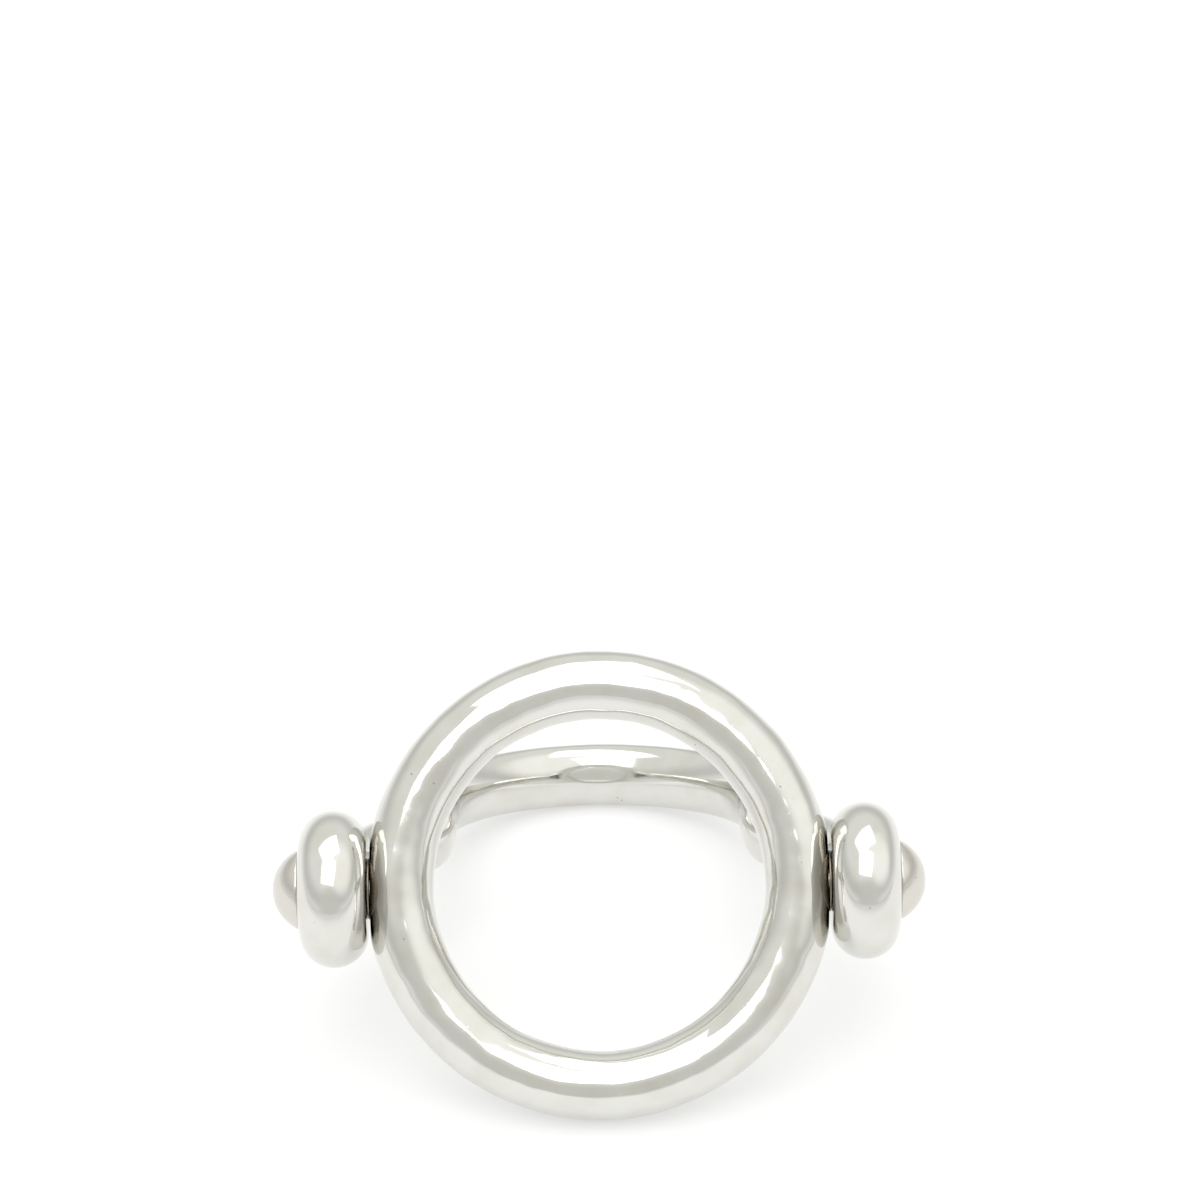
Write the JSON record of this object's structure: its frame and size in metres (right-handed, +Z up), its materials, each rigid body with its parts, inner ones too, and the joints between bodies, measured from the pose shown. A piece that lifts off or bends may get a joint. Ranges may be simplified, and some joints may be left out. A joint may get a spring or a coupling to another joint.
{
  "type": "swivel ring with rear bow",
  "caption": "Thick polished ring swinging on domed pivot pins between the round eyes of a narrower U-shaped bow, which reaches back and down as a stand.",
  "frame": {"origin": "on the table, under the middle of the whole piece as it stands", "axes": "+X along the pivots to the viewer's right, +Z up, the ring's open face looks towards -Y and the bow reaches back to +Y"},
  "size_m": [0.055, 0.0522, 0.0334],
  "materials": {
    "ring_metal": "mirror polished silver-coloured plating with fine scratches",
    "bow_metal": "mirror polished silver-coloured plating with fine scratches",
    "pin_metal": "polished silver-coloured metal, a little worn",
    "washer_metal": "dull, darkened silver-coloured metal"
  },
  "bodies": {
    "bow": {"rear_bow": "bow_metal", "pivot_washer_left": "washer_metal", "pivot_washer_right": "washer_metal"},
    "ring": {"front_ring": "ring_metal", "pivot_pin_left": "pin_metal", "pivot_pin_right": "pin_metal"}
  },
  "joints": [
    {"name": "ring_swing", "type": "hinge", "parent": "bow", "child": "ring", "pos_m": [0, -0.01335, 0.01672], "axis": [1, 0, 0], "continuous": true}
  ]
}
